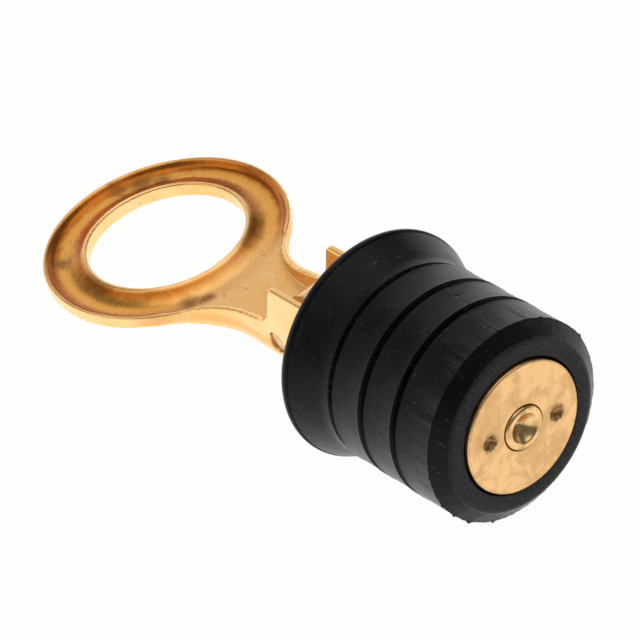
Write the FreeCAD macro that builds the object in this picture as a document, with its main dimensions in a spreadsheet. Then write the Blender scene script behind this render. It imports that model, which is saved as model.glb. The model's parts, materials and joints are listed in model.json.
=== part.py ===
import FreeCAD, Part
import math
import os
import Sketcher

# Boat drain plug with a snap handle. A rubber plug is gripped between a brass disc at its outer end and
# a brass plate at its flange. A stud runs through all three, and a ring handle with two ears pivots on
# the stud's eye. With the handle in line, the ears' flat foot stands on the plate.
#
# Every piece is drawn in the plug's own frame: X runs along the plug's axis from the disc towards the
# handle, and X = 0 is the middle of the three sealing lands. The handle and its pin are drawn with the
# pivot at X = 0. The whole plug is then tilted about X = 0 of its axis to lie as it comes to rest, on
# its flange and the ring's far end.

sizes = {
    # rubber plug
    "sealRadius": 12.6,
    "firstLand": 6.0,
    "landPitch": 5.7,
    "grooveWidth": 0.9,
    "grooveDepth": 0.6,
    "grooveFloor": 0.3,
    "landCount": 3,
    "tipRadius": 10.6,
    "tipLength": 1.7,
    "coneRootRadius": 12.3,
    "flangeRadius": 14.45,
    "coneLength": 5.55,
    "flangeLip": 1.05,
    "flangeRound": 0.8,
    # bottom disc and its seat in the rubber
    "discRadius": 8.3,
    "discThickness": 2.4,
    "discProud": 0.35,
    "discGap": 0.3,
    "discEdge": 0.2,
    "dentCircle": 5.0,
    "dentRadius": 0.95,
    "dentLift": 0.5,
    "dentTurn": 14.8,
    # top plate
    "plateRadius": 12.0,
    "plateThickness": 1.5,
    "plateEdge": 0.35,
    # stud
    "studRadius": 2.8,
    "studProud": 0.35,
    "studLip": 0.3,
    "studPitRadius": 2.0,
    "studPitDepth": 1.7,
    "threadGap": 0.08,
    "plateGap": 0.3,
    "boreGap": 0.6,
    "eyeRadius": 3.4,
    "eyeThickness": 4.0,
    # pivot
    "pinHeight": 8.4,
    "pinRadius": 1.4,
    "pinGap": 0.05,
    "pinInset": 0.35,
    "pinChamfer": 0.25,
    # handle: ears, neck and ring
    "footGap": 0.05,
    "sideGap": 0.1,
    "earHalf": 5.2,
    "earThickness": 1.0,
    "earTop": 9.1,
    "earFront": 1.3,
    "earLean": 21.0,
    "earBottom": 2.0,
    "earCorner": 0.9,
    "eyeRoom": 0.5,
    "railTop": 1.0,
    "railFillet": 4.6,
    "webTop": -0.5,
    "webFillet": 0.9,
    "neckStraight": 5.9,
    "taperStart": 9.5,
    "joinHalf": 0.7,
    "cutMargin": 2.0,
    "ringDistance": 28.9,
    "ringOffset": -0.3,
    "ringRadius": 13.3,
    "ringHalfWidth": 3.0,
    "ringHalfHeight": 2.1,
    "ringEdgeRadius": 1.6,
    # the pose at rest: the handle's end low, and a slight roll towards the side to which it has slid
    "restTilt": 12.6,
    "restRoll": 2.4,
}

derived = {
    "patternLength": "=(landCount - 1) * landPitch",
    "sealLength": "=firstLand + patternLength - grooveWidth / 2",
    "rimX": "=-sealLength / 2",
    "endX": "=rimX - tipLength",
    "discFaceX": "=endX - discProud",
    "seatX": "=discFaceX + discThickness",
    "seatRadius": "=discRadius + discGap",
    "grooveRadius": "=sealRadius - grooveDepth",
    "grooveX": "=rimX + firstLand",
    "grooveStart": "=grooveX - grooveWidth / 2",
    "grooveEnd": "=grooveX + grooveWidth / 2",
    "grooveFloorStart": "=grooveX - grooveFloor / 2",
    "grooveFloorEnd": "=grooveX + grooveFloor / 2",
    "grooveOutside": "=sealRadius + cutMargin",
    "coneX": "=sealLength / 2 + grooveWidth",
    "flangeX": "=coneX + coneLength",
    "flangeTopX": "=flangeX + flangeLip",
    "flangeRoundX": "=flangeTopX - flangeRound",
    "flangeRoundRadius": "=flangeRadius - flangeRound",
    "plateTopX": "=flangeTopX + plateThickness",
    "plateEdgeX": "=plateTopX - plateEdge",
    "plateEdgeRadius": "=plateRadius - plateEdge",
    "discEdgeX": "=discFaceX + discEdge",
    "discEdgeRadius": "=discRadius - discEdge",
    "boreRadius": "=studRadius + boreGap",
    "discHole": "=studRadius + threadGap",
    "plateHole": "=studRadius + plateGap",
    "studEndX": "=discFaceX - studProud",
    "studLipX": "=studEndX + studLip",
    "studLipRadius": "=studRadius - studLip",
    "studPitX": "=studEndX + studPitDepth",
    "pinX": "=plateTopX + pinHeight",
    "flatStartX": "=plateTopX - eyeRoom",
    "flatEndX": "=pinX + eyeRadius + cutMargin",
    "flatOutside": "=eyeRadius + cutMargin",
    "eyeBore": "=pinRadius + pinGap",
    "slotHalf": "=earHalf - earThickness",
    "eyeHalf": "=eyeThickness / 2",
    "sidePlay": "=slotHalf - eyeHalf - sideGap",
    "pinHalf": "=earHalf - pinInset",
    "footX": "=-(pinHeight - footGap)",
    "webEndX": "=eyeRadius + eyeRoom",
    "leanSlope": "=tan(earLean)",
    "earFrontX": "=-earFront",
    "leanBottomX": "=(earTop - railTop) * leanSlope - earFront",
    "filletReach": "=railFillet * tan(45 - earLean / 2)",
    "railStartX": "=leanBottomX + filletReach",
    "leanEndX": "=leanBottomX - filletReach * sin(earLean)",
    "leanEndZ": "=railTop + filletReach * cos(earLean)",
    "ringOuter": "=ringRadius + ringHalfWidth",
    "neckRun": "=ringDistance - neckStraight",
    "flareRadius": "=(neckRun ^ 2 + earHalf ^ 2 - ringOuter ^ 2) / (2 * (ringOuter - earHalf))",
    "flareCentre": "=earHalf + flareRadius",
    "joinShare": "=ringOuter / (ringOuter + flareRadius)",
    "joinX": "=ringDistance - neckRun * joinShare",
    "joinY": "=flareCentre * joinShare",
    "neckReach": "=ringDistance - ringRadius * neckRun / (ringOuter + flareRadius)",
    "reachY": "=joinY * ringRadius / ringOuter",
    "joinTop": "=ringOffset + joinHalf",
    "joinBottom": "=ringOffset - joinHalf",
    "channelArc": "=flareRadius + earThickness",
    "channelJoinX": "=neckStraight + neckRun * channelArc / (ringOuter + flareRadius)",
    "channelJoinY": "=flareCentre * (1 - channelArc / (ringOuter + flareRadius))",
    "beyondX": "=neckReach + cutMargin",
    "behindX": "=footX - cutMargin",
    "aboveEar": "=earTop + cutMargin",
    "belowEar": "=-(earBottom + cutMargin)",
    "ringCrown": "=((ringHalfWidth - ringEdgeRadius) ^ 2 + ringHalfHeight ^ 2 - ringEdgeRadius ^ 2)"
                 " / (2 * (ringHalfHeight - ringEdgeRadius))",
    "edgeShare": "=ringEdgeRadius / (ringCrown - ringEdgeRadius)",
    "ringTangentX": "=(ringHalfWidth - ringEdgeRadius) * (1 + edgeShare)",
    "ringTangentZ": "=(ringCrown - ringHalfHeight) * edgeShare",
    "ringInX": "=ringTangentX - ringRadius",
    "ringOutX": "=-ringTangentX - ringRadius",
    "ringHighZ": "=ringOffset + ringTangentZ",
    "ringLowZ": "=ringOffset - ringTangentZ",
}


def makeSheet(doc):
    # driving dimensions first, then what follows from them
    sheet = doc.addObject("Spreadsheet::Sheet", "Sizes")
    rows = [(name, str(value)) for name, value in sizes.items()] + list(derived.items())
    for row, (name, content) in enumerate(rows, start=1):
        sheet.set(f"A{row}", name)
        sheet.set(f"B{row}", content)
        sheet.setAlias(f"B{row}", name)
    doc.recompute()
    return sheet


def number(sheet, name):
    # a cell's value, negative where the name has a leading minus
    if name.startswith("-"):
        return -number(sheet, name[1:])
    return float(getattr(sheet, name))


def cell(name):
    # the expression that reads a cell, negative where the name has a leading minus
    return "-Sizes." + name[1:] if name.startswith("-") else "Sizes." + name


def makeBody(doc, name):
    body = doc.addObject("PartDesign::Body", "Body_" + name)
    body.Label = name
    return body


def originItem(body, role):
    return next(item for item in body.Origin.OriginFeatures if item.Role == role)


def makeSketch(body, name, role):
    sketch = body.newObject("Sketcher::SketchObject", name)
    sketch.AttachmentSupport = [(originItem(body, role), "")]
    sketch.MapMode = "FlatFace"
    return sketch


def holdPoint(sketch, geo, pos, point):
    # holds one point of the sketch at a pair of cells, or on an axis where one is "zero"
    for kind, axis, name in (("DistanceX", -2, point[0]), ("DistanceY", -1, point[1])):
        if name == "zero":
            sketch.addConstraint(Sketcher.Constraint("PointOnObject", geo, pos, axis))
        else:
            value = number(sketch.Document.Sizes, name)
            place = sketch.addConstraint(Sketcher.Constraint(kind, -1, 1, geo, pos, value))
            sketch.setExpression(f"Constraints[{place}]", cell(name))


def holdRadius(sketch, geo, name):
    value = number(sketch.Document.Sizes, name)
    place = sketch.addConstraint(Sketcher.Constraint("Radius", geo, value))
    sketch.setExpression(f"Constraints[{place}]", cell(name))


def spot(sheet, point):
    x, y = (0.0 if name == "zero" else number(sheet, name) for name in point[:2])
    return FreeCAD.Vector(x, y, 0)


def roundedSide(start, end, radius, side):
    # the short arc between two points that bulges to the left (1) or right (-1) of the way from start
    chord = end - start
    left = FreeCAD.Vector(-chord.y, chord.x, 0).normalize()
    centre = (start + end) / 2 - left * side * math.sqrt(max(radius ** 2 - (chord.Length / 2) ** 2, 0.0))
    first, last = (end, start) if side > 0 else (start, end)
    angles = [math.atan2(p.y - centre.y, p.x - centre.x) for p in (first, last)]
    if angles[1] <= angles[0]:
        angles[1] += 2 * math.pi
    return Part.ArcOfCircle(Part.Circle(centre, FreeCAD.Vector(0, 0, 1), radius), *angles)


def outline(sketch, points):
    # a closed outline. A point that ends with a radius and a side starts an arc, the others a line
    sheet = sketch.Document.Sizes
    spots = [spot(sheet, point) for point in points]
    first = sketch.GeometryCount
    count = len(points)
    ends = []
    for index, point in enumerate(points):
        start, end = spots[index], spots[(index + 1) % count]
        if len(point) > 2:
            sketch.addGeometry(roundedSide(start, end, number(sheet, point[2]), point[3]))
        else:
            sketch.addGeometry(Part.LineSegment(start, end))
        # a sketch keeps every arc anticlockwise, so one that bulges left runs from its end to its start
        ends.append((2, 1) if len(point) > 2 and point[3] > 0 else (1, 2))
    for index, point in enumerate(points):
        after = (index + 1) % count
        meeting = (first + index, ends[index][1], first + after, ends[after][0])
        sketch.addConstraint(Sketcher.Constraint("Coincident", *meeting))
        holdPoint(sketch, first + index, ends[index][0], point)
        if len(point) > 2:
            holdRadius(sketch, first + index, point[2])


def ringLine(sketch, centre, radius):
    # a full circle
    middle = spot(sketch.Document.Sizes, centre)
    size = number(sketch.Document.Sizes, radius)
    geo = sketch.addGeometry(Part.Circle(middle, FreeCAD.Vector(0, 0, 1), size))
    holdPoint(sketch, geo, 3, centre)
    holdRadius(sketch, geo, radius)


def turned(body, kind, name, points):
    # adds (Revolution) or removes (Groove) an outline turned about the plug's axis
    sketch = makeSketch(body, name + "Outline", "XZ_Plane")
    outline(sketch, points)
    feature = body.newObject("PartDesign::" + kind, name)
    feature.Profile = sketch
    feature.ReferenceAxis = (sketch, ["H_Axis"])
    feature.Angle = 360
    return feature


def cutThrough(body, name, sketch):
    # removes a sketch's area through everything, on both sides of its plane
    cut = body.newObject("PartDesign::Pocket", name)
    cut.Profile = sketch
    cut.Type = "ThroughAll"
    cut.SideType = "Symmetric"
    return cut


def roundEdges(body, name, radius, wanted):
    # rounds the edges of the body's last feature for which wanted(edge) holds
    body.Document.recompute()
    base = body.Tip
    picked = [f"Edge{n}" for n, edge in enumerate(base.Shape.Edges, start=1) if wanted(edge)]
    fillet = body.newObject("PartDesign::Fillet", name)
    fillet.Base = (base, picked)
    fillet.Radius = number(body.Document.Sizes, radius)
    fillet.setExpression("Radius", cell(radius))
    return fillet


def along(edge, **place):
    # true where every end of the edge has the given coordinates
    ends = [vertex.Point for vertex in edge.Vertexes]
    return all(abs(getattr(p, axis) - value) < 0.001 for p in ends for axis, value in place.items())


def layDown(body, place="vector(0; 0; 0)"):
    # turns a piece from the plug's frame to the pose in which the plug lies. place is the piece's
    # origin in the plug's frame
    turn = "rotation(0; Sizes.restTilt; -Sizes.restRoll)"
    body.setExpression("Placement", f"placement(vector(0; 0; 0); {turn}) * "
                                    f"placement({place}; rotation(0; 0; 0))")


def layAtPivot(body):
    # as layDown, for a piece drawn about the pivot, which has slid sideways along the stud's eye
    layDown(body, "vector(Sizes.pinX; Sizes.sidePlay; 0)")


def rubberPlug(doc):
    # a moulded plug: bevelled tip with a seat for the disc, three lands, then a cone up to the flange
    body = makeBody(doc, "rubber_plug")
    turned(body, "Revolution", "PlugBody", [
        ("seatX", "boreRadius"),
        ("seatX", "seatRadius"),
        ("endX", "seatRadius"),
        ("endX", "tipRadius"),
        ("rimX", "sealRadius"),
        ("coneX", "sealRadius"),
        ("coneX", "coneRootRadius"),
        ("flangeX", "flangeRadius"),
        ("flangeRoundX", "flangeRadius", "flangeRound", -1),
        ("flangeTopX", "flangeRoundRadius"),
        ("flangeTopX", "boreRadius"),
    ])
    groove = turned(body, "Groove", "SealGroove", [
        ("grooveStart", "sealRadius"),
        ("grooveFloorStart", "grooveRadius"),
        ("grooveFloorEnd", "grooveRadius"),
        ("grooveEnd", "sealRadius"),
        ("grooveEnd", "grooveOutside"),
        ("grooveStart", "grooveOutside"),
    ])
    grooves = body.newObject("PartDesign::LinearPattern", "SealGrooves")
    grooves.Originals = [groove]
    grooves.Direction = (originItem(body, "X_Axis"), [""])
    grooves.Length = number(doc.Sizes, "patternLength")
    grooves.setExpression("Length", "Sizes.patternLength")
    grooves.Occurrences = int(number(doc.Sizes, "landCount"))
    grooves.setExpression("Occurrences", "Sizes.landCount")
    body.Tip = grooves
    layDown(body)
    return body


def bottomDisc(doc):
    # a turned disc with a hole for the stud and two punched dents in its outer face
    body = makeBody(doc, "bottom_disc")
    turned(body, "Revolution", "DiscBody", [
        ("discFaceX", "discHole"),
        ("discFaceX", "discEdgeRadius"),
        ("discEdgeX", "discRadius"),
        ("seatX", "discRadius"),
        ("seatX", "discHole"),
    ])
    dent = body.newObject("PartDesign::SubtractiveSphere", "Dent")
    dent.AttachmentSupport = [(originItem(body, "XY_Plane"), "")]
    dent.MapMode = "FlatFace"
    dent.setExpression("Radius", "Sizes.dentRadius")
    dent.setExpression("AttachmentOffset.Base.x", "Sizes.discFaceX - Sizes.dentLift")
    dent.setExpression("AttachmentOffset.Base.y", "Sizes.dentCircle * cos(Sizes.dentTurn)")
    dent.setExpression("AttachmentOffset.Base.z", "Sizes.dentCircle * sin(Sizes.dentTurn)")
    dents = body.newObject("PartDesign::PolarPattern", "Dents")
    dents.Originals = [dent]
    dents.Axis = (originItem(body, "X_Axis"), [""])
    dents.Angle = 360
    dents.Occurrences = 2
    body.Tip = dents
    layDown(body)
    return body


def topPlate(doc):
    # a plain washer on the flange, for the handle's foot to stand on
    body = makeBody(doc, "top_plate")
    turned(body, "Revolution", "PlateBody", [
        ("flangeTopX", "plateHole"),
        ("flangeTopX", "plateRadius"),
        ("plateEdgeX", "plateRadius"),
        ("plateTopX", "plateEdgeRadius"),
        ("plateTopX", "plateHole"),
    ])
    layDown(body)
    return body


def drawStud(doc):
    # a round stud with a hollow flared end in the disc and a flat eye between the handle's ears
    body = makeBody(doc, "draw_stud")
    turned(body, "Revolution", "StudShank", [
        ("studPitX", "zero"),
        ("studEndX", "studPitRadius"),
        ("studEndX", "studLipRadius"),
        ("studLipX", "studRadius"),
        ("pinX", "studRadius"),
        ("pinX", "zero"),
    ])
    sketch = makeSketch(body, "EyeOutline", "XZ_Plane")
    ringLine(sketch, ("pinX", "zero"), "eyeRadius")
    eye = body.newObject("PartDesign::Pad", "Eye")
    eye.Profile = sketch
    eye.SideType = "Symmetric"
    eye.setExpression("Length", "Sizes.eyeThickness")
    flats = makeSketch(body, "FlatsOutline", "XY_Plane")
    for side in ("", "-"):
        outline(flats, [
            ("flatStartX", side + "eyeHalf"),
            ("flatEndX", side + "eyeHalf"),
            ("flatEndX", side + "flatOutside"),
            ("flatStartX", side + "flatOutside"),
        ])
    cutThrough(body, "EyeFlats", flats)
    bore = makeSketch(body, "BoreOutline", "XZ_Plane")
    ringLine(bore, ("pinX", "zero"), "eyeBore")
    cutThrough(body, "EyeBore", bore)
    layDown(body)
    return body


def pivotPin(doc):
    # a short pin, set in a little from both ears
    body = makeBody(doc, "pivot_pin")
    sketch = makeSketch(body, "PinOutline", "XZ_Plane")
    ringLine(sketch, ("zero", "zero"), "pinRadius")
    pin = body.newObject("PartDesign::Pad", "Pin")
    pin.Profile = sketch
    pin.SideType = "Symmetric"
    pin.setExpression("Length", "2 * Sizes.pinHalf")
    doc.recompute()
    chamfer = body.newObject("PartDesign::Chamfer", "PinEnds")
    rims = [f"Edge{n}" for n, edge in enumerate(pin.Shape.Edges, start=1) if len(edge.Vertexes) == 1]
    chamfer.Base = (pin, rims)
    chamfer.setExpression("Size", "Sizes.pinChamfer")
    layAtPivot(body)
    return body


def leverHandle(doc):
    # a cast handle: two thin ears with a long flat foot, a dished neck and a ring of oval section
    sheet = doc.Sizes
    body = makeBody(doc, "lever_handle")
    plan = makeSketch(body, "NeckPlan", "XY_Plane")
    outline(plan, [
        ("footX", "earHalf"),
        ("neckStraight", "earHalf", "flareRadius", -1),
        ("joinX", "joinY"),
        ("neckReach", "reachY", "ringRadius", -1),
        ("neckReach", "-reachY"),
        ("joinX", "-joinY", "flareRadius", -1),
        ("neckStraight", "-earHalf"),
        ("footX", "-earHalf"),
    ])
    block = body.newObject("PartDesign::Pad", "NeckBlock")
    block.Profile = plan
    block.SideType = "Two sides"
    block.setExpression("Length", "Sizes.earTop")
    block.setExpression("Length2", "Sizes.earBottom")

    above = makeSketch(body, "NeckTop", "XZ_Plane")
    outline(above, [
        ("earFrontX", "earTop"),
        ("leanEndX", "leanEndZ", "railFillet", -1),
        ("railStartX", "railTop"),
        ("taperStart", "railTop"),
        ("neckReach", "joinTop"),
        ("beyondX", "joinTop"),
        ("beyondX", "aboveEar"),
        ("earFrontX", "aboveEar"),
    ])
    cutThrough(body, "AboveNeck", above)
    below = makeSketch(body, "NeckUnderside", "XZ_Plane")
    outline(below, [
        ("taperStart", "-earBottom"),
        ("neckReach", "joinBottom"),
        ("beyondX", "joinBottom"),
        ("beyondX", "belowEar"),
        ("taperStart", "belowEar"),
    ])
    cutThrough(body, "BelowNeck", below)
    foot, top, bottom = number(sheet, "footX"), number(sheet, "earTop"), -number(sheet, "earBottom")
    roundEdges(body, "FootCorner", "earBottom", lambda edge: along(edge, x=foot, z=bottom))
    front = number(sheet, "earFrontX")
    roundEdges(body, "EarCorner", "earCorner", lambda edge: along(edge, x=front, z=top))

    channel = makeSketch(body, "ChannelPlan", "XY_Plane")
    channel.AttachmentOffset = FreeCAD.Placement(FreeCAD.Vector(0, 0, -1), FreeCAD.Rotation())
    channel.setExpression("AttachmentOffset.Base.z", "Sizes.webTop")
    outline(channel, [
        ("behindX", "slotHalf"),
        ("neckStraight", "slotHalf", "channelArc", -1),
        ("channelJoinX", "channelJoinY"),
        ("beyondX", "channelJoinY"),
        ("beyondX", "-channelJoinY"),
        ("channelJoinX", "-channelJoinY", "channelArc", -1),
        ("neckStraight", "-slotHalf"),
        ("behindX", "-slotHalf"),
    ])
    dish = body.newObject("PartDesign::Pocket", "Channel")
    dish.Profile = channel
    dish.Type = "ThroughAll"
    dish.Reversed = True
    web, wall = number(sheet, "webTop"), number(sheet, "neckStraight")
    roundEdges(body, "WebFillet", "webFillet", lambda edge: along(edge, z=web) and
               edge.BoundBox.XLength > 1 and edge.BoundBox.XMin < wall + 1)

    room = makeSketch(body, "EyeSlotPlan", "XY_Plane")
    outline(room, [
        ("behindX", "slotHalf"),
        ("webEndX", "slotHalf"),
        ("webEndX", "-slotHalf"),
        ("behindX", "-slotHalf"),
    ])
    cutThrough(body, "EyeSlot", room)
    hole = makeSketch(body, "PinHoleOutline", "XZ_Plane")
    ringLine(hole, ("zero", "zero"), "pinRadius")
    cutThrough(body, "PinHoles", hole)

    section = makeSketch(body, "RingSection", "XZ_Plane")
    section.setExpression("AttachmentOffset.Base.x", "Sizes.ringDistance")
    outline(section, [
        ("ringInX", "ringHighZ", "ringCrown", -1),
        ("ringOutX", "ringHighZ", "ringEdgeRadius", -1),
        ("ringOutX", "ringLowZ", "ringCrown", -1),
        ("ringInX", "ringLowZ", "ringEdgeRadius", -1),
    ])
    ring = body.newObject("PartDesign::Revolution", "Ring")
    ring.Profile = section
    ring.ReferenceAxis = (section, ["V_Axis"])
    ring.Angle = 360
    layAtPivot(body)
    return body


def main():
    doc = FreeCAD.newDocument("DrainPlug")
    makeSheet(doc)
    makers = (rubberPlug, bottomDisc, topPlate, drawStud, pivotPin, leverHandle)
    bodies = [make(doc) for make in makers]
    doc.recompute()
    failed = [item.Name for item in doc.Objects if "Invalid" in item.State or "Error" in item.State]
    failed += [body.Label for body in bodies if body.Shape.isNull() or not body.Shape.isValid()]
    failed += [body.Label for body in bodies if len(body.Shape.Solids) != 1]
    if failed:
        raise SystemExit("failed: " + ", ".join(failed))
    os.makedirs("parts", exist_ok=True)
    for body in bodies:
        body.Shape.exportStep(f"parts/{body.Label}.step")
        print(body.Label, round(body.Shape.Volume, 1))


main()
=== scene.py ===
import bmesh
import bpy
import json
import math
from mathutils import Matrix, Vector, noise


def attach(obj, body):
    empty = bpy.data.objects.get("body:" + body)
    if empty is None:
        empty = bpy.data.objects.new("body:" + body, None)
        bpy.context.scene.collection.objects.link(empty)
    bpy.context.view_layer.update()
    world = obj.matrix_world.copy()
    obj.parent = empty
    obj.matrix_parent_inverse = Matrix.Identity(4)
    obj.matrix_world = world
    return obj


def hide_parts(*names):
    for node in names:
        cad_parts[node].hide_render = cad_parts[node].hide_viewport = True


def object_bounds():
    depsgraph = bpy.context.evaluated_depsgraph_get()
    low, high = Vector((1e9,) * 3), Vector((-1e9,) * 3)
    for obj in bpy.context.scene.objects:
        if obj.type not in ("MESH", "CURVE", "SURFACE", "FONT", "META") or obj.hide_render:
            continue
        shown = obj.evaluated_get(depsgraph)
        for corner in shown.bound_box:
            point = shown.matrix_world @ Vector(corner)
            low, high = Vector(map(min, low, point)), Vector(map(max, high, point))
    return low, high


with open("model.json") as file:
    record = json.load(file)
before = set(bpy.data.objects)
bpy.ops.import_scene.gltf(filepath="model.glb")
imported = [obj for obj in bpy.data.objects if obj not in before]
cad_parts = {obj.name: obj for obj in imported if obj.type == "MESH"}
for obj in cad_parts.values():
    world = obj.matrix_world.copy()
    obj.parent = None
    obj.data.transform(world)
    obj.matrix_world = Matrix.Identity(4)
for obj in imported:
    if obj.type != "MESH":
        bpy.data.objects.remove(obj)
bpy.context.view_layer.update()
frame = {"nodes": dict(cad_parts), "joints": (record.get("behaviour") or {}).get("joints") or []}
print("frame loaded")

# The plug's own frame: X along its axis towards the handle, Y along the pin, in millimetres.
# Every size below is in millimetres in that frame, unless its comment says otherwise.
joints = {joint["name"]: joint for joint in frame["joints"]}
plugAxis = Vector(joints["stud_turn"]["axis"]).normalized()
pinAxis = Vector(joints["lever_fold"]["axis"]).normalized()
plugUp = plugAxis.cross(pinAxis).normalized()
mm = 0.001
turnToWorld = Matrix((plugAxis, pinAxis, plugUp)).transposed()
plugToWorld = (turnToWorld * mm).to_4x4()
worldToPlug = plugToWorld.inverted()
pivotX = (Vector(joints["lever_fold"]["pos_m"]).dot(plugAxis)) / mm


def plugSpan(node):
    # a CAD node's lowest and highest corners along the plug's own axes
    points = [worldToPlug @ vertex.co for vertex in frame["nodes"][node].data.vertices]
    low = Vector([min(point[i] for point in points) for i in range(3)])
    high = Vector([max(point[i] for point in points) for i in range(3)])
    return low, high


# Shader helpers

class Wire:
    # a socket whose operators add Math nodes
    def __init__(self, tree, socket):
        self.tree = tree
        self.socket = socket

    def math(self, operation, *others):
        return self.tree.add("ShaderNodeMath", {"operation": operation}, dict(enumerate((self, *others))))

    def __add__(self, other):
        return self.math("ADD", other)

    def __sub__(self, other):
        return self.math("SUBTRACT", other)

    def __rsub__(self, other):
        return self.tree.add("ShaderNodeMath", {"operation": "SUBTRACT"}, {0: other, 1: self})

    def __mul__(self, other):
        return self.math("MULTIPLY", other)

    __radd__ = __add__
    __rmul__ = __mul__

    def between(self, low, high):
        # 0 below low, 1 above high, smooth in between; the other way round when low is above high
        settings = {"interpolation_type": "SMOOTHSTEP"}
        if low <= high:
            return self.tree.add("ShaderNodeMapRange", settings, {0: self, 1: low, 2: high})
        return self.tree.add("ShaderNodeMapRange", settings, {0: self, 1: high, 2: low, 3: 1.0, 4: 0.0})


class Tree:
    # a node tree with one method that adds any node
    def __init__(self, tree):
        self.tree = tree
        tree.nodes.clear()

    def add(self, kind, settings, inputs, output=0):
        node = self.tree.nodes.new(kind)
        for name, value in settings.items():
            setattr(node, name, value)
        for name, value in inputs.items():
            if isinstance(value, Wire):
                self.tree.links.new(value.socket, node.inputs[name])
            else:
                node.inputs[name].default_value = value
        return Wire(self, node.outputs[output]) if len(node.outputs) else node

    def mix(self, factor, first, second):
        # two colours, each a wire or a triple
        first, second = [side if isinstance(side, Wire) else (*side, 1) for side in (first, second)]
        return self.add("ShaderNodeMix", {"data_type": "RGBA"}, {0: factor, 6: first, 7: second}, 2)

    def noise(self, place, scale, detail=3.0, roughness=0.5, distortion=0.0):
        inputs = {"Vector": place, "Scale": scale, "Detail": detail, "Roughness": roughness,
                  "Distortion": distortion}
        return self.add("ShaderNodeTexNoise", {"normalize": True}, inputs)

    def cells(self, place, scale):
        # distance to scattered points
        return self.add("ShaderNodeTexVoronoi", {"feature": "F1"}, {"Vector": place, "Scale": scale})

    def apart(self, place, spot):
        # distance from a spot
        return self.add("ShaderNodeVectorMath", {"operation": "DISTANCE"}, {0: place, 1: spot}, 1)

    def part(self, place, axis):
        # one coordinate of a place
        return self.add("ShaderNodeSeparateXYZ", {}, {0: place}, axis)

    def stretched(self, place, factors, turn):
        return self.add("ShaderNodeMapping", {}, {"Vector": place, "Rotation": turn, "Scale": factors})

    def bump(self, height):
        # a bent normal from a height in millimetres
        return self.add("ShaderNodeBump", {}, {"Strength": 1.0, "Distance": 1.0, "Height": height * mm})


def startMaterial(name):
    # a new material's tree, and the place on the piece in the plug's own axes, in millimetres
    material = bpy.data.materials.new(name)
    material.use_nodes = True
    tree = Tree(material.node_tree)
    place = tree.add("ShaderNodeTexCoord", {}, {}, 3)
    place = tree.stretched(place, (1, 1, 1), tuple(turnToWorld.inverted().to_euler()))
    place = tree.add("ShaderNodeVectorMath", {"operation": "SCALE"}, {0: place, "Scale": 1 / mm})
    return material, tree, place


def finishMaterial(tree, inputs):
    shader = tree.add("ShaderNodeBsdfPrincipled", {}, inputs)
    tree.add("ShaderNodeOutputMaterial", {}, {"Surface": shader})


# Rubber's look

rubberLook = {
    "dark": (0.0016, 0.0015, 0.0018),
    "worn": (0.0042, 0.0042, 0.0048),
    "face": (0.040, 0.040, 0.044),
    "dust": (0.26, 0.26, 0.27),
    "roughness": (0.22, 0.40),
    "faceRoughness": 0.12,
    "scratchRoughness": 0.1,
    "specular": 0.13,
    "faceEdge": (0.35, 0.15),    # how far behind the tip's end the dull look starts and is full
    "grainDepth": 0.04,
    "faceDepth": 0.10,
    "waveDepth": 0.08,
    "pitDepth": 0.22,
    "scratchDepth": 0.05,
    "scratchShare": 0.45,
    "speckShare": 0.8,
    # short scratches run every way: the turn and the stretch of each set
    "scratchSets": (((0.3, 0.2, 0.9), 0.10), ((0.8, 1.1, 0.2), 0.08), ((1.7, 0.5, 2.2), 0.12)),
    # moulding faults that the photograph shows: middle and size of each pit, then middle, radius and the
    # place to which each thin curl bends
    "pits": (((0.47, -2.89, 12.26), 0.34), ((0.65, 10.78, 6.53), 0.22), ((-5.6, 11.9, 4.2), 0.16)),
    "curls": (((-9.5, 10.2, 6.4), 0.45, (-9.2, 10.5, 6.3)), ((-9.3, 11.0, 4.3), 0.7, (-9.8, 10.6, 4.8)),
              ((10.2, -5.2, 13.0), 1.3, (10.6, -4.2, 13.2)), ((9.6, -4.4, 13.2), 0.9, (9.4, -5.0, 13.2))),
}


def rubberScratches(tree, place, coarse):
    # thin level lines of stretched noises, and the curls
    scratch = None
    for turn, stretch in rubberLook["scratchSets"]:
        run = tree.stretched(place, (1.0, stretch, 1.0), turn)
        lines = tree.noise(run, scale=2.2, detail=1.0, roughness=0.4, distortion=0.15)
        patches = tree.noise(place, scale=0.35 + stretch, detail=1.0)
        thin = (lines - 0.5).math("ABSOLUTE").between(0.006, 0.0) * patches.between(0.56, 0.66)
        scratch = thin if scratch is None else scratch.math("MAXIMUM", thin)
    for middle, radius, bend in rubberLook["curls"]:
        line = (tree.apart(place, middle) - radius).math("ABSOLUTE").between(0.07, 0.02) * coarse
        near = tree.apart(place, bend).between(radius * 1.1, radius * 0.7)
        scratch = scratch.math("MAXIMUM", line * near)
    return scratch


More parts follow.
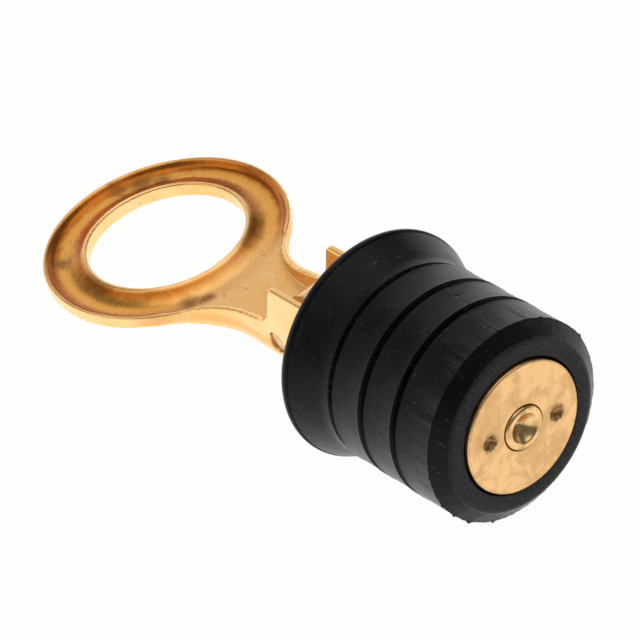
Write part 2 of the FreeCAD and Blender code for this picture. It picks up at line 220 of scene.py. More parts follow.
def makeRubber(faceX):
    look = rubberLook
    material, tree, place = startMaterial("mouldedRubber")
    cloud = tree.noise(place, scale=0.22, detail=4.0, roughness=0.6)
    grain = tree.noise(place, scale=5.5, roughness=0.65)
    coarse = tree.noise(place, scale=1.6, roughness=0.6)
    scratch = rubberScratches(tree, place, coarse)
    speck = tree.cells(place, scale=1.5).between(0.10, 0.05)
    speck = speck * tree.noise(place, scale=0.5, detail=1.0).between(0.48, 0.60)
    pit = None
    for middle, radius in look["pits"]:
        hollow = tree.apart(place, middle).between(radius, radius * 0.4)
        pit = hollow if pit is None else pit.math("MAXIMUM", hollow)
    face = tree.part(place, 0).between(*(faceX + edge for edge in look["faceEdge"]))
    faceGrain = tree.noise(place, scale=3.6, detail=4.0, roughness=0.75)
    wave = tree.noise(place, scale=0.45, detail=2.0)
    colour = tree.mix(cloud.between(0.35, 0.75), look["dark"], look["worn"])
    colour = tree.mix(face * faceGrain.between(0.30, 0.75), colour, look["face"])
    colour = tree.mix(scratch * look["scratchShare"], colour, look["dust"])
    colour = tree.mix(speck * look["speckShare"], colour, look["dust"])
    low, high = look["roughness"]
    roughness = low + (high - low) * coarse + face * look["faceRoughness"]
    roughness = roughness + scratch * look["scratchRoughness"]
    height = grain * look["grainDepth"] + face * faceGrain * look["faceDepth"]
    height = height - scratch * look["scratchDepth"]
    height = height + wave * look["waveDepth"] - pit * look["pitDepth"]
    finishMaterial(tree, {
        "Base Color": colour,
        "Roughness": roughness,
        "Specular IOR Level": look["specular"],
        "Normal": tree.bump(height),
    })
    return material


# Cast brass's look

castLook = {
    "gold": (0.93, 0.61, 0.27),
    "copper": (0.91, 0.54, 0.20),
    "pale": (0.95, 0.71, 0.40),
    # painted reflection: the trough's deeper orange stands in for light bouncing between its walls
    "trough": (0.80, 0.36, 0.065),
    # painted shade: the darker brown laid along the trough's walls
    "paintedWallShade": (0.42, 0.108, 0.009),
    "stain": (0.10, 0.035, 0.008),
    # painted dark reflection colour, laid on the fixed spots listed below
    "spot": (0.17, 0.062, 0.014),
    "roughness": (0.20, 0.36),
    "stainRoughness": 0.1,
    "webRoughness": 0.22,
    "waveDepth": 0.10,
    "grainDepth": 0.006,
    "pitDepth": 0.02,
    "paleShare": 0.55,
    "paintedLightShare": 0.92,
    "stainShare": 0.55,
    "pitShare": 0.7,
    "spotShare": 0.72,
    "speckleShare": 0.45,
    # the trough's reach: below its rim and above the belly, and between the rims round the ring
    "troughTop": (0.32, -0.10),
    "troughFloor": (-1.30, -1.10),
    "innerRim": (10.34, 10.50),
    "outerRim": (16.08, 15.90),
    "innerWall": (13.0, 11.2),
    "outerWall": (13.9, 14.9),
    "webEnd": (46.0, 40.0),      # the web's last and first place along the axis, where the ring starts
    "webPaler": 0.72,            # how much less of the painted reflection and the painted shade the web has
    "webFlatter": 0.7,
    "wallFray": 1.2,
    "spotFray": (1.6, 2.0),      # by the fine and the middle noise
    # painted dark reflections in the trough: middle and reach of each
    "spots": (((67.6, -3.3, -0.7), 2.3), ((69.2, -0.6, -0.7), 1.8), ((65.6, -5.6, -0.7), 1.5),
              ((42.2, 8.3, -0.7), 1.9), ((41.2, 6.4, -0.6), 1.4), ((63.2, 13.0, -0.7), 1.7)),
}


def makeCastBrass(ringCentre):
    look = castLook
    material, tree, place = startMaterial("polishedCastBrass")
    broad = tree.noise(place, scale=0.13, roughness=0.55, distortion=0.3)
    middle = tree.noise(place, scale=0.55, detail=4.0, roughness=0.6, distortion=0.4)
    fine = tree.noise(place, scale=3.2, detail=4.0, roughness=0.65)
    wave = tree.noise(place, scale=0.33, detail=2.0)
    stain = middle.between(0.40, 0.26) * fine.between(0.35, 0.65)
    pits = tree.cells(place, scale=0.9).between(0.11, 0.05)
    pits = pits * tree.noise(place, scale=0.31, detail=1.0).between(0.50, 0.60)

    web = tree.part(place, 0).between(*look["webEnd"])
    height = tree.part(place, 2)
    level = tree.add("ShaderNodeVectorMath", {"operation": "MULTIPLY"}, {0: place, 1: (1.0, 1.0, 0.0)})
    radius = tree.apart(level, ringCentre)
    deep = height.between(*look["troughTop"]) * height.between(*look["troughFloor"])
    deep = deep * radius.between(*look["innerRim"])
    deep = deep * (web + radius.between(*look["outerRim"])).math("MINIMUM", 1.0)
    # painted shade: a mask along the trough's inner and outer walls, its edge frayed by noise
    radius = radius + (middle - 0.5) * look["wallFray"]
    paintedWallShade = radius.between(*look["innerWall"]) * (1 - web * look["webFlatter"])
    paintedWallShade = paintedWallShade + radius.between(*look["outerWall"]) * (1 - web)

    colour = tree.mix(broad.between(0.38, 0.66), look["copper"], look["gold"])
    colour = tree.mix(middle.between(0.52, 0.80) * look["paleShare"], colour, look["pale"])
    # painted reflection: a deeper orange over the trough, with less of it on the web
    inWeb = look["paintedLightShare"] - web * look["webPaler"]
    colour = tree.mix(deep * inWeb, colour, look["trough"])
    # painted shade on the trough's walls
    colour = tree.mix(deep * paintedWallShade * look["paintedLightShare"], colour, look["paintedWallShade"])
    colour = tree.mix(stain * look["stainShare"], colour, look["stain"])
    colour = tree.mix(pits * look["pitShare"], colour, look["stain"])
    fineFray, middleFray = look["spotFray"]
    # painted dark reflections: ragged dark patches at fixed places in the trough
    for spot, reach in look["spots"]:
        ragged = tree.apart(place, spot) + (fine - 0.5) * fineFray + (middle - 0.5) * middleFray
        colour = tree.mix(ragged.between(reach * 1.15, reach * 0.2) * look["spotShare"], colour, look["spot"])
    colour = tree.mix(fine.between(0.60, 0.74) * deep * look["speckleShare"], colour, look["stain"])

    low, high = look["roughness"]
    roughness = low + (high - low) * (middle * 0.6 + fine * 0.4) + stain * look["stainRoughness"]
    roughness = roughness + web * deep * look["webRoughness"]
    height = wave * look["waveDepth"] + fine * look["grainDepth"] - pits * look["pitDepth"]
    finishMaterial(tree, {
        "Base Color": colour,
        "Metallic": 1.0,
        "Roughness": roughness,
        "Normal": tree.bump(height),
    })
    return material


# Sheet and turned brass's look

sheetLook = {
    "bright": (0.80, 0.50, 0.225),
    "dull": (0.60, 0.355, 0.145),
    "stain": (0.24, 0.12, 0.045),
    "roughness": (0.26, 0.48),
    "spotRoughness": 0.12,
    "brushDepth": 0.008,
    "grainDepth": 0.008,
    "waveDepth": 0.02,
    "dullShare": 0.95,
    "spotShare": 0.7,
    "pepperShare": 0.5,
    "brushShare": 0.22,
    "haloShare": 0.2,
    "dentShare": 0.78,
    # how far from a dent's middle its brown halo and its dark floor reach, and where they are full
    "halo": (2.6, 1.0),
    "dent": (1.45, 0.75),
    "dentFray": 0.9,
}
turnedLook = {**sheetLook, "bright": (0.78, 0.51, 0.24), "dull": (0.50, 0.30, 0.12),
              "roughness": (0.16, 0.32)}


def makeSheetBrass(name, look, dentPlaces=()):
    # faint brush lines one way, cloudy tarnish and small brown spots
    material, tree, place = startMaterial(name)
    run = tree.stretched(place, (1.0, 0.09, 1.0), (0.5, 0.0, 0.0))
    brushed = tree.noise(run, scale=9.0, detail=2.0)
    cloud = tree.noise(place, scale=0.42, detail=5.0, roughness=0.62, distortion=0.5)
    fine = tree.noise(place, scale=2.6, detail=4.0, roughness=0.7, distortion=0.3)
    wave = tree.noise(place, scale=0.8, detail=2.0)
    spots = fine.between(0.63, 0.76) * cloud.between(0.40, 0.62)
    pepper = tree.cells(place, scale=2.3).between(0.16, 0.06)
    pepper = pepper * tree.noise(place, scale=0.9, detail=2.0).between(0.47, 0.60)

    colour = tree.mix(cloud.between(0.62, 0.38) * look["dullShare"], look["bright"], look["dull"])
    colour = tree.mix(spots * look["spotShare"], colour, look["stain"])
    colour = tree.mix(pepper * look["pepperShare"], colour, look["stain"])
    colour = tree.mix(brushed.between(0.58, 0.80) * look["brushShare"], colour, look["stain"])
    for dent in dentPlaces:
        fray = tree.noise(place, scale=1.7, roughness=0.6) - 0.5
        ragged = tree.apart(place, dent) + fray * look["dentFray"]
        colour = tree.mix(ragged.between(*look["halo"]) * look["haloShare"], colour, look["stain"])
        colour = tree.mix(ragged.between(*look["dent"]) * look["dentShare"], colour, look["stain"])

    low, high = look["roughness"]
    roughness = low + (high - low) * (cloud * 0.5 + brushed * 0.5) + spots * look["spotRoughness"]
    height = brushed * look["brushDepth"] + fine * look["grainDepth"] + wave * look["waveDepth"]
    finishMaterial(tree, {
        "Base Color": colour,
        "Metallic": 1.0,
        "Roughness": roughness,
        "Normal": tree.bump(height),
    })
    return material


# Mesh helpers

def onCircle(edge, x, radius):
    # true for an edge of the ring of vertices at x with this radius about the plug's axis
    close = 1e-4
    return all(abs(vertex.co.x - x) < close and abs(math.hypot(vertex.co.y, vertex.co.z) - radius) < close
               for vertex in edge.verts)


def spun(points, closed, centre, axis, steps):
    # an outline turned full circle about an axis
    shape = bmesh.new()
    corners = [shape.verts.new(point) for point in points]
    following = corners[1:] + corners[:1] if closed else corners[1:]
    edges = [shape.edges.new(pair) for pair in zip(corners, following)]
    bmesh.ops.spin(shape, geom=corners + edges, cent=centre, axis=axis, dvec=(0, 0, 0),
                   angle=2 * math.pi, steps=steps, use_merge=True, use_duplicate=False)
    bmesh.ops.remove_doubles(shape, verts=shape.verts, dist=1e-5)
    return shape


def turnedShape(outline, steps, rounded=(), closed=True):
    # an outline of (x, radius) points turned about the plug's axis, with the corners rounded that are named
    # by their x and radius, the size of the rounding and its segments
    shape = spun([(x, 0.0, radius) for x, radius in outline], closed, (0, 0, 0), (1, 0, 0), steps)
    for x, radius, size, segments in rounded:
        ring = [edge for edge in shape.edges if onCircle(edge, x, radius)]
        bmesh.ops.bevel(shape, geom=ring, offset=size, offset_type="OFFSET", affect="EDGES",
                        segments=segments, profile=0.5, material=-1)
    bmesh.ops.recalc_face_normals(shape, faces=shape.faces)
    return shape


def ringOf(section, centreX, steps):
    # a section of (radius, height) points turned about an upright axis
    points = [(centreX + radius, 0.0, height) for radius, height in section]
    shape = spun(points, True, (centreX, 0, 0), (0, 0, 1), steps)
    bmesh.ops.recalc_face_normals(shape, faces=shape.faces)
    return shape


def prism(points, sideways, low, high):
    # a flat outline grown along Z, or along Y where it is drawn sideways
    shape = bmesh.new()
    grow = Vector((0, 1, 0)) if sideways else Vector((0, 0, 1))
    corners = [shape.verts.new((x, low, y) if sideways else (x, y, low)) for x, y in points]
    face = shape.faces.new(corners)
    grown = bmesh.ops.extrude_face_region(shape, geom=[face], use_keep_orig=True)["geom"]
    moved = [item for item in grown if isinstance(item, bmesh.types.BMVert)]
    bmesh.ops.translate(shape, vec=grow * (high - low), verts=moved)
    bmesh.ops.recalc_face_normals(shape, faces=shape.faces)
    return shape


def arc(start, end, radius, side, steps):
    # the short arc between two points that bulges to the left (1) or right (-1) of the way there, without
    # its end point
    start, end = Vector(start), Vector(end)
    half = (end - start) / 2
    left = Vector((-half.y, half.x)).normalized()
    middle = start + half - left * side * math.sqrt(radius ** 2 - half.length ** 2)
    first = math.atan2(start.y - middle.y, start.x - middle.x)
    last = math.atan2(end.y - middle.y, end.x - middle.x)
    sweep = (last - first + math.pi) % (2 * math.pi) - math.pi
    return [(middle.x + radius * math.cos(first + sweep * n / steps),
             middle.y + radius * math.sin(first + sweep * n / steps)) for n in range(steps)]


def mirrored(points):
    # a half outline and its mirror image across the axis
    return points + [(x, -y) for x, y in reversed(points)]


def objectOf(shape, name):
    # a new object in the scene that holds a shape
    mesh = bpy.data.meshes.new(name)
    shape.to_mesh(mesh)
    shape.free()
    holder = bpy.data.objects.new(name, mesh)
    bpy.context.scene.collection.objects.link(holder)
    return holder


def finishPiece(shape, name, body, material, node, smooth=35.0):
    # puts a shape where it belongs, shades it smooth up to an angle and makes it ride on a body
    bmesh.ops.transform(shape, matrix=plugToWorld, verts=shape.verts)
    piece = objectOf(shape, name)
    piece.data.shade_smooth()
    piece.data.set_sharp_from_angle(angle=math.radians(smooth))
    piece.data.materials.append(material)
    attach(piece, body)
    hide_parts(node)


def evenSkin(shape, voxel, passes, cuts=()):
    # a shape after its cuts, as an even and slightly softened mesh. Each cut is a shape and a way to combine
    carrier = objectOf(shape, "skin")
    tools = []
    for tool, operation in cuts:
        tools.append(objectOf(tool, "tool"))
        cut = carrier.modifiers.new("cut", "BOOLEAN")
        cut.solver = "EXACT"
        cut.operation = operation
        cut.object = tools[-1]
    even = carrier.modifiers.new("even", "REMESH")
    even.mode = "VOXEL"
    even.voxel_size = voxel
    soft = carrier.modifiers.new("soft", "SMOOTH")
    soft.factor = 0.5
    soft.iterations = passes
    graph = bpy.context.evaluated_depsgraph_get()
    skin = bpy.data.meshes.new_from_object(carrier.evaluated_get(graph))
    for helper in [carrier, *tools]:
        bpy.data.objects.remove(helper)
    result = bmesh.new()
    result.from_mesh(skin)
    bpy.data.meshes.remove(skin)
    return result


def recast(node, voxel, passes):
    # a copy of a CAD node's skin as an even mesh, in the plug's own frame
    source = bmesh.new()
    source.from_mesh(frame["nodes"][node].data)
    bmesh.ops.remove_doubles(source, verts=source.verts, dist=1e-6)
    bmesh.ops.transform(source, matrix=worldToPlug, verts=source.verts)
    return evenSkin(source, voxel, passes)


def soften(shape, wanted, passes):
    # evens out the vertices for which wanted(place) holds
    chosen = [vertex for vertex in shape.verts if wanted(vertex.co)]
    for _ in range(passes):
        bmesh.ops.smooth_vert(shape, verts=chosen, factor=0.5, use_axis_x=True, use_axis_y=True,
                              use_axis_z=True)


# Rubber plug

rubber = {
    "steps": 256,
    "sealRadius": 12.6,
    "landPitch": 5.7,
    "firstLand": 6.0,
    "grooves": 3,
    "grooveHalf": 0.42,
    "grooveDepth": 0.62,
    "grooveFloor": 0.16,         # half the width of a groove's floor
    "lipHeight": 0.08,
    "lipTop": 0.12,              # how far outside the groove the raised lip is highest, and where it ends
    "lipEnd": 0.5,
    "tipRadius": 10.6,
    "tipLength": 1.7,
    "tipRound": 0.35,
    "belowRim": (0.12, 0.14),    # the outline just before and after the rim: along the axis and inwards
    "aboveRim": (0.13, 0.01),
    "seatRadius": 8.6,
    "seatRound": 0.15,
    "boreRadius": 3.4,
    "coneStart": 0.45,           # from the last groove's middle
    "coneLength": 5.55,
    "waist": (1.1, 0.08, 0.6),   # where the cone leaves the cylinder: along, inwards and its rounding
    "waistIn": 0.10,
    "skirt": ((0.35, 0.20), (0.18, 0.26)),      # the small step under the flange: along and inwards
    "flangeRound": 0.75,
    "skirtRound": 0.1,
    "flashHeight": 0.15,         # the fin and the nibs below are shares of this height
    "finHeight": 0.2,
    "finBroad": (0.3, 6.0, 0.25),               # slice of the noise, how many waves and their height
    "finFine": (4.1, 34.0, 0.6),
    "nibs": ((-19.0, 1.2, 1.6), (-31.0, 0.8, 1.3), (-44.0, 1.5, 2.0), (-62.0, 1.0, 2.2), (3.0, 0.8, 1.1),
             (96.0, 1.0, 0.9), (125.0, 0.8, 1.0), (160.0, 1.2, 1.4)),      # angle, width and height
}


def flashAt(angle):
    # how far the trimmed flash stands out at this angle about the axis: a low ragged fin and a few nibs
    out = rubber["finHeight"]
    for part, waves, height in (rubber["finBroad"], rubber["finFine"]):
        out += noise.noise(Vector((math.cos(angle), math.sin(angle), part)) * waves) * height
    out = max(0.0, out)
    for middle, width, height in rubber["nibs"]:
        away = (math.degrees(angle) - middle + 180) % 360 - 180
        out += height * math.exp(-(away / width) ** 2)
    return out


def makePlug(material):
    size = rubber
    low, high = plugSpan("rubber_plug")
    endX, topX = low.x, high.x
    rimX = endX + size["tipLength"]
    seal, groove = size["sealRadius"], size["grooveHalf"]
    lip, floor = seal + size["lipHeight"], seal - size["grooveDepth"]
    centres = [rimX + size["firstLand"] + n * size["landPitch"] for n in range(size["grooves"])]
    coneX = centres[-1] + size["coneStart"]
    flangeRadius = max(high.y, -low.y)
    flangeX = coneX + size["coneLength"]
    seatX = plugSpan("bottom_disc")[1].x
    before, after = size["belowRim"], size["aboveRim"]
    waistAlong, waistIn, waistRound = size["waist"]

    outline = [(seatX, size["boreRadius"]), (seatX, size["seatRadius"]), (endX, size["seatRadius"]),
               (endX, size["tipRadius"]), (rimX - before[0], seal - before[1]), (rimX, seal),
               (rimX + after[0], seal - after[1])]
    for centre in centres:
        outline += [(centre - groove - size["lipEnd"], seal), (centre - groove - size["lipTop"], lip),
                    (centre - size["grooveFloor"], floor), (centre + size["grooveFloor"], floor)]
        if centre != centres[-1]:
            outline += [(centre + groove + size["lipTop"], lip), (centre + groove + size["lipEnd"], seal)]
    outline += [(coneX, seal - size["waistIn"]), (coneX + waistAlong, seal - waistIn)]
    outline += [(flangeX - along, flangeRadius - inwards) for along, inwards in size["skirt"]]
    outline += [(flangeX, flangeRadius), (topX, flangeRadius), (topX, size["boreRadius"])]
    shape = turnedShape(outline, size["steps"], [
        (endX, size["tipRadius"], size["tipRound"], 3),
        (endX, size["seatRadius"], size["seatRound"], 2),
        (coneX + waistAlong, seal - waistIn, waistRound, 3),
        (topX, flangeRadius, size["flangeRound"], 4),
        (flangeX, flangeRadius, size["skirtRound"], 2),
    ])
    for vertex in shape.verts:
        if abs(vertex.co.x - rimX) < 1e-4:
            radius = math.hypot(vertex.co.y, vertex.co.z)
            angle = math.atan2(vertex.co.z, vertex.co.y)
            out = 1 + flashAt(angle) * size["flashHeight"] / radius
            vertex.co.y *= out
            vertex.co.z *= out
    finishPiece(shape, "rubberPlug", "seal", material, "rubber_plug", smooth=28.0)


# Bottom disc

disc = {
    "steps": 240,
    "radius": 8.3,
    "holeRadius": 2.9,
    "edge": 0.22,
    "holeEdge": 0.1,
    "rings": 34,
    "dentCircle": 5.0,
    "dentTurn": 14.8,            # degrees
    "dentRadius": 0.92,
    "dentDepth": 0.60,
    "dentReach": 1.7,
    "rimHeight": 0.09,           # the raised rim round a dent: its height, its width and how far out it lies
    "rimWidth": 0.16,
    "rimOut": 0.12,
    "fray": (1.7, 0.22),         # how ragged a dent's rim is: its waves and how far they reach
    "floorDrop": 0.02,
}


def dentCentres(faceX):
    turn = math.radians(disc["dentTurn"])
    spot = Vector((0.0, math.cos(turn), math.sin(turn))) * disc["dentCircle"]
    return [Vector((faceX, side * spot.y, side * spot.z)) for side in (1, -1)]


def dentHeight(offset, seed):
    # height of a punched dent with a ragged raised rim, by the distance from its middle
    waves, reach = disc["fray"]
    away = offset.length + noise.noise(Vector((offset.y * waves, offset.z * waves, seed))) * reach
    inside = disc["dentRadius"]
    if away < inside:
        return -disc["dentDepth"] * (1 - (away / inside) ** 2) - disc["floorDrop"]
    return disc["rimHeight"] * math.exp(-((away - inside - disc["rimOut"]) / disc["rimWidth"]) ** 2)


def makeDisc(material):
    size = disc
    low, high = plugSpan("bottom_disc")
    faceX = low.x
    inner, outer = size["holeRadius"], size["radius"]
    step = (outer - inner) / size["rings"]
    outline = [(faceX, inner + step * n) for n in range(size["rings"] + 1)]
    outline += [(high.x, outer), (high.x, inner)]
    rounded = [(faceX, outer, size["edge"], 3), (faceX, inner, size["holeEdge"], 2)]
    shape = turnedShape(outline, size["steps"], rounded)
    for seed, centre in enumerate(dentCentres(faceX)):
        for vertex in shape.verts:
            offset = vertex.co - centre
            if abs(offset.x) < 0.01 and offset.length < size["dentReach"]:
                vertex.co.x -= dentHeight(offset, seed * 5.0)
    finishPiece(shape, "bottomDisc", "seal", material, "bottom_disc")


# Stud

stud = {
    "voxel": 0.10,
    "passes": 3,
    "radius": 2.8,
    "lipDrop": 0.45,
    "lipRadius": 2.3,
    "lipCurve": 2.2,
    "lipEdge": 0.30,             # how much of the outside next to the end is formed anew
    "skin": 0.12,                # what stays of the outside beside the pit
    "pitRadius": 1.75,
    "pitStart": 0.30,
    "pitDepth": 1.7,
    "pitReach": 2.0,
    "pitSlope": 1.12,
    "pitCurve": 0.9,
    "lineRadius": 1.95,          # the fine raised line inside the lip
    "lineWidth": 0.09,
    "lineHeight": 0.05,
    "softReach": 0.8,
    "softPasses": 2,
}


def studEnd(radius):
    # how far the end lies behind its highest point at this radius: a rounded lip, then a cone-shaped pit
    size = stud
    if radius > size["lipRadius"]:
        share = (radius - size["lipRadius"]) / (size["radius"] - size["lipRadius"])
        return size["lipDrop"] * (1 - math.sqrt(max(1 - share ** 2, 0.0)))
    if radius > size["pitRadius"]:
        share = (size["lipRadius"] - radius) / (size["lipRadius"] - size["pitRadius"])
        line = math.exp(-((radius - size["lineRadius"]) / size["lineWidth"]) ** 2)
        return size["pitStart"] * share ** size["lipCurve"] - size["lineHeight"] * line
    share = min((1 - radius / size["pitRadius"]) * size["pitSlope"], 1.0)
    return size["pitStart"] + (size["pitDepth"] - size["pitStart"]) * share ** size["pitCurve"]


def makeStud(material):
    size = stud
    endX = plugSpan("draw_stud")[0].x
    shape = recast("draw_stud", size["voxel"], size["passes"])
    for vertex in shape.verts:
        radius = math.hypot(vertex.co.y, vertex.co.z)
        behind = vertex.co.x - endX
        inPit = behind < size["pitReach"] and radius < size["radius"] - size["skin"]
        if inPit or behind < size["lipEdge"]:
            vertex.co.x = endX + studEnd(min(radius, size["radius"]))
    soften(shape, lambda place: place.x < endX + size["softReach"], size["softPasses"])
    finishPiece(shape, "drawStud", "stud", material, "draw_stud", smooth=60.0)


# Handle

handle = {
    # drawn about the pivot: X along the neck, Z up
    "voxel": 0.18,
    "passes": 9,
    "foot": -8.35,
    "half": 5.2,
    "slotHalf": 4.2,
    "slotEnd": 3.9,
    "pinRadius": 1.4,
    "neckStraight": 5.9,
    "flare": 13.35,
    "join": (16.289, 10.169),
    "ringX": 28.9,
    "ringOuter": 16.2,
    "ringInner": 10.3,
    "ringSteps": 120,
    "rim": 0.35,
    "under": -1.45,
    "top": 9.1,
    "bottom": -2.0,
    "web": -0.5,
    # the side view: the foot's rounded heel, the neck's underside, the rail's slope and its rise into the
    # ear, the ear's front edge and its rounded upper corner
    "heelRound": 2.0,
    "neckUnder": (12.0, 18.0),
    "railEnd": 15.0,
    "railRise": ((3.271, 2.292), (0.421, 4.616)),
    "riseRound": 3.7,
    "earFront": (-1.02, 8.37),
    "earCorner": ((-1.08, 8.55), (-1.9, 9.1)),
    "cornerRound": 0.9,
    # the sunk channel between the rails
    "channelFlare": 12.8,
    "channelJoin": (16.195, 9.392),
    "channelEnd": (18.316, 9.392),
    "channelRound": 14.15,
    # the ring's section as (radius, height): the rounded belly and the trough
    "bellyInner": 10.0,
    "bellyOuter": 16.0,
    "bellyTop": -0.95,
    "bellyRound": 5.72,
    "troughInner": 10.75,
    "troughOuter": 15.8,
    "troughLow": (13.3, -0.9),
    "troughRise": (15.0, -0.62),
    "troughRound": 6.5,
    # softened after the cuts: between these radii and above this height
    "softBand": (10.9, 16.6),
    "softAbove": -1.0,
    "softPasses": 9,
    "waveHeight": 0.035,
    "waveLength": 5.0,
    "rippleLength": 1.9,
    "rippleShare": 0.5,
    "waveSink": 0.6,
    # how far the block is larger than the handle, how far the cutting shapes reach past it, and their
    # height over the ring, their depth below it and their reach to both sides
    "spare": 1.0,
    "clear": 2.0,
    "cutHeight": 5.0,
    "cutDepth": 6.0,
    "cutWidth": 20.0,
}


def handlePlan():
    # the handle from above: straight sides, the flare and the ring
    size = handle
    tip = (size["ringX"] + size["ringOuter"], 0.0)
    plan = [(size["foot"], size["half"])]
    plan += arc((size["neckStraight"], size["half"]), size["join"], size["flare"], -1, 16)
    plan += arc(size["join"], tip, size["ringOuter"], 1, 60)
    plan = mirrored(plan)
    plan.insert(len(plan) // 2, tip)
    return plan


def handleSide():
    # the handle from the side
    size = handle
    foot, bottom, heel = size["foot"], size["bottom"], size["heelRound"]
    beyond = size["ringX"] + size["ringOuter"] + size["clear"]
    underStart, underEnd = size["neckUnder"]
    riseStart, riseEnd = size["railRise"]
    cornerStart, cornerEnd = size["earCorner"]
    side = arc((foot, 0.0), (foot + heel, bottom), heel, -1, 8)
    side += [(foot + heel, bottom), (underStart, bottom), (underEnd, size["under"]),
             (beyond, size["under"]), (beyond, size["rim"]), (size["railEnd"], size["rim"])]
    side += arc(riseStart, riseEnd, size["riseRound"], 1, 8)
    side += [riseEnd, size["earFront"]] + arc(cornerStart, cornerEnd, size["cornerRound"], -1, 5)
    side += [(cornerEnd[0], size["top"]), (foot, size["top"])]
    return side


def handleChannel():
    # the channel from above: it follows the neck's sides and ends in an arc inside the ring
    size = handle
    join, end, slot = size["channelJoin"], size["channelEnd"], size["slotHalf"]
    start = size["foot"] - size["clear"]
    flare = arc((size["neckStraight"], slot), join, size["channelFlare"], -1, 16)
    channel = [(start, slot)] + flare + [join]
    channel += arc(end, (end[0], -end[1]), size["channelRound"], -1, 24)
    channel += [(x, -y) for x, y in [end, join]]
    channel += [(x, -y) for x, y in reversed(flare)] + [(start, -slot)]
    return channel


def handleCuts():
    # what shapes the handle out of its upright prism, in this order: a shape and the way to combine
    size = handle
    ringX, steps, rim, under = size["ringX"], size["ringSteps"], size["rim"], size["under"]
    wide, above = size["cutWidth"], size["top"] + size["clear"]
    high, deep = size["cutHeight"], size["cutDepth"]
    inner, outer = size["bellyInner"], size["bellyOuter"]
    belly = [(inner, size["bellyTop"]), (outer, size["bellyTop"]),
             *arc((outer, under), (inner, under), size["bellyRound"], 1, 20), (inner, under)]
    inner, outer, low = size["troughInner"], size["troughOuter"], size["troughLow"]
    trough = [(inner, rim), *arc((inner, rim), low, size["troughRound"], -1, 10)[1:], low, size["troughRise"],
              (outer, rim), (outer, high), (inner, high)]
    hole = [(0.001, -deep), (size["ringInner"], -deep), (size["ringInner"], deep), (0.001, deep)]
    start, slot = size["foot"] - size["clear"], size["slotHalf"]
    room = [(start, slot), (size["slotEnd"], slot), (size["slotEnd"], -slot), (start, -slot)]
    bore = [(size["pinRadius"] * math.cos(turn * math.pi / 24),
             size["pinRadius"] * math.sin(turn * math.pi / 24)) for turn in range(48)]
    return [
        (prism(handleSide(), True, -wide, wide), "INTERSECT"),
        (ringOf(belly, ringX, steps), "UNION"),
        (prism(handleChannel(), False, size["web"], above), "DIFFERENCE"),
        (ringOf(trough, ringX, steps), "DIFFERENCE"),
        (ringOf(hole, ringX, steps), "DIFFERENCE"),
        (prism(room, False, -high, above), "DIFFERENCE"),
        (prism(bore, True, -wide, wide), "DIFFERENCE"),
    ]


def inTrough(place):
    nearest, farthest = handle["softBand"]
    radius = math.hypot(place.x - handle["ringX"], place.y)
    return nearest < radius < farthest and place.z > handle["softAbove"]


def makeHandle(material):
    size = handle
    low, high = plugSpan("lever_handle")
    block = prism(handlePlan(), False, size["bottom"] - size["spare"], size["top"] + size["spare"])
    shape = evenSkin(block, size["voxel"], size["passes"], handleCuts())
    soften(shape, inTrough, size["softPasses"])
    shape.normal_update()
    for vertex in shape.verts:
        ripple = noise.noise(vertex.co / size["rippleLength"])
        wave = noise.noise(vertex.co / size["waveLength"]) + size["rippleShare"] * ripple
        vertex.co += vertex.normal * (wave - size["waveSink"]) * size["waveHeight"]
    bmesh.ops.translate(shape, vec=(pivotX, (low.y + high.y) / 2, 0.0), verts=shape.verts)
    finishPiece(shape, "leverHandle", "lever", material, "lever_handle", smooth=150.0)


# Plate and pin

plate = {"steps": 192, "radius": 12.0, "holeRadius": 3.1, "edge": 0.35, "lowerEdge": 0.15}
pin = {"steps": 64, "radius": 1.4, "edge": 0.25}


def makePlate(material):
    low, high = plugSpan("top_plate")
    inner, outer = plate["holeRadius"], plate["radius"]
    outline = [(low.x, inner), (low.x, outer), (high.x, outer), (high.x, inner)]
    shape = turnedShape(outline, plate["steps"], [
        (high.x, outer, plate["edge"], 4),
        (low.x, outer, plate["lowerEdge"], 2),
        (high.x, inner, plate["lowerEdge"], 2),
    ])
    finishPiece(shape, "topPlate", "seal", material, "top_plate")


def makePin(material):
    # turned about X, then laid along Y at the pivot
    low, high = plugSpan("pivot_pin")
    radius = pin["radius"]
    outline = [(low.y, 0.0), (low.y, radius), (high.y, radius), (high.y, 0.0)]
    rounded = [(end, radius, pin["edge"], 3) for end in (low.y, high.y)]
    shape = turnedShape(outline, pin["steps"], rounded, closed=False)
    bmesh.ops.remove_doubles(shape, verts=shape.verts, dist=1e-4)
    bmesh.ops.rotate(shape, cent=(0, 0, 0), matrix=Matrix.Rotation(math.pi / 2, 3, "Z"), verts=shape.verts)
    bmesh.ops.translate(shape, vec=((low.x + high.x) / 2, 0, 0), verts=shape.verts)
    bmesh.ops.recalc_face_normals(shape, faces=shape.faces)
    finishPiece(shape, "pivotPin", "lever", material, "pivot_pin")


# Camera, floor and light

view = {
    "place": (-256.985, 161.99, 249.58),
    "right": (-0.6265, -0.7455, -0.2272),
    "down": (-0.3654, 0.5385, -0.7592),
    "lens": 191.6,
    "sensor": 36.0,
    "nearest": 0.01,             # metres
}


def makeCamera():
    camera = bpy.data.objects.new("camera", bpy.data.cameras.new("camera"))
    bpy.context.scene.collection.objects.link(camera)
    camera.data.lens = view["lens"]
    camera.data.sensor_width = view["sensor"]
    camera.data.clip_start = view["nearest"]
    right = turnToWorld @ Vector(view["right"]).normalized()
    up = -(turnToWorld @ Vector(view["down"]).normalized())
    back = right.cross(up).normalized()
    turn = Matrix((right, back.cross(right), back)).transposed()
    camera.matrix_world = Matrix.Translation(plugToWorld @ Vector(view["place"])) @ turn.to_4x4()
    bpy.context.scene.camera = camera


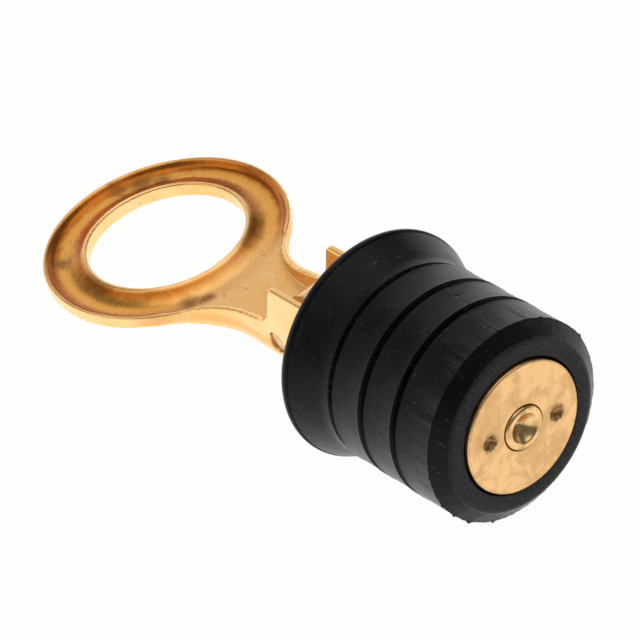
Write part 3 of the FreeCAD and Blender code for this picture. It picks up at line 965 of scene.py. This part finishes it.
studio = {
    # lengths here are in metres
    "floorRadius": 0.6,
    "floorGap": 0.00005,
    "floorColour": (0.90, 0.90, 0.90),
    "floorGlow": 0.975,
    "floorShine": 1.25,
    "horizon": 1.1,
    "horizonSpan": (0.34, 0.02),
    "bright": 0.85,              # a soft panel beyond the handle, which the web mirrors
    "panelSpan": (0.86, 0.97),
    "towardsBright": (0.80, -0.40, 0.45),
    "dark": 0.20,
    "softboxes": (
        # place, aimed at the object, size and power
        ((0.10, -0.20, 1.10), 1.50, 6.5),
        ((0.55, 0.75, 0.75), 0.90, 2.0),
    ),
}


def makeFloor():
    # the camera and mirroring surfaces see a glowing white floor, with a trace of the real shadows
    shape = bmesh.new()
    bmesh.ops.create_circle(shape, cap_ends=True, segments=64, radius=studio["floorRadius"])
    low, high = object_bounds()
    under = ((low.x + high.x) / 2, 0, low.z - studio["floorGap"])
    bmesh.ops.translate(shape, vec=under, verts=shape.verts)
    floor = objectOf(shape, "floor")
    material = bpy.data.materials.new("paleFloor")
    material.use_nodes = True
    tree = Tree(material.node_tree)
    straight, glossy, through = [tree.add("ShaderNodeLightPath", {}, {}, f"Is {ray} Ray")
                                 for ray in ("Camera", "Glossy", "Transmission")]
    seen = (straight * studio["floorGlow"]).math("MAXIMUM", glossy).math("MAXIMUM", through)
    diffuse = tree.add("ShaderNodeBsdfDiffuse", {}, {"Color": (*studio["floorColour"], 1)})
    strength = 1.0 + glossy * (studio["floorShine"] - 1.0)
    glow = tree.add("ShaderNodeEmission", {}, {"Color": (1, 1, 1, 1), "Strength": strength})
    surface = tree.add("ShaderNodeMixShader", {}, {0: seen, 1: diffuse, 2: glow})
    tree.add("ShaderNodeOutputMaterial", {}, {"Surface": surface})
    floor.data.materials.append(material)


def makeWorld():
    # a bright horizon, a dark sky and one bright panel; the camera sees white
    world = bpy.data.worlds.new("studio")
    bpy.context.scene.world = world
    world.use_nodes = True
    tree = Tree(world.node_tree)
    direction = tree.add("ShaderNodeTexCoord", {}, {}, 0)
    panel = tree.add("ShaderNodeVectorMath", {"operation": "DOT_PRODUCT"},
                     {0: direction, 1: studio["towardsBright"]}, 1)
    high = studio["dark"] + panel.between(*studio["panelSpan"]) * (studio["bright"] - studio["dark"])
    low = tree.part(direction, 2).between(*studio["horizonSpan"])
    shade = high + low * (studio["horizon"] - high)
    seen = tree.add("ShaderNodeLightPath", {}, {}, "Is Camera Ray")
    strength = shade.math("MAXIMUM", seen)
    background = tree.add("ShaderNodeBackground", {}, {"Color": (1, 1, 1, 1), "Strength": strength})
    tree.add("ShaderNodeOutputWorld", {}, {"Surface": background})


def makeLights():
    for number, (place, size, power) in enumerate(studio["softboxes"]):
        light = bpy.data.lights.new(f"softbox{number}", "AREA")
        light.shape = "DISK"
        light.size = size
        light.energy = power
        lamp = bpy.data.objects.new(light.name, light)
        bpy.context.scene.collection.objects.link(lamp)
        lamp.location = place
        lamp.rotation_euler = (-Vector(place)).to_track_quat("-Z", "Y").to_euler()


# Making

discFaceX = plugSpan("bottom_disc")[0].x
handleY = sum(corner.y for corner in plugSpan("lever_handle")) / 2
rubberMaterial = makeRubber(plugSpan("rubber_plug")[0].x)
castBrass = makeCastBrass((pivotX + handle["ringX"], handleY, 0.0))
discBrass = makeSheetBrass("brushedSheetBrass", sheetLook, [tuple(spot) for spot in dentCentres(discFaceX)])
turnedBrass = makeSheetBrass("turnedBrass", turnedLook)
makePlug(rubberMaterial)
makeDisc(discBrass)
makePlate(discBrass)
print("plug, disc and plate made")
makeStud(turnedBrass)
makePin(turnedBrass)
makeHandle(castBrass)
print("stud, pin and handle made")
makeCamera()
makeFloor()
makeWorld()
makeLights()
bpy.context.scene.view_settings.view_transform = "Standard"
print("camera, floor and light made")
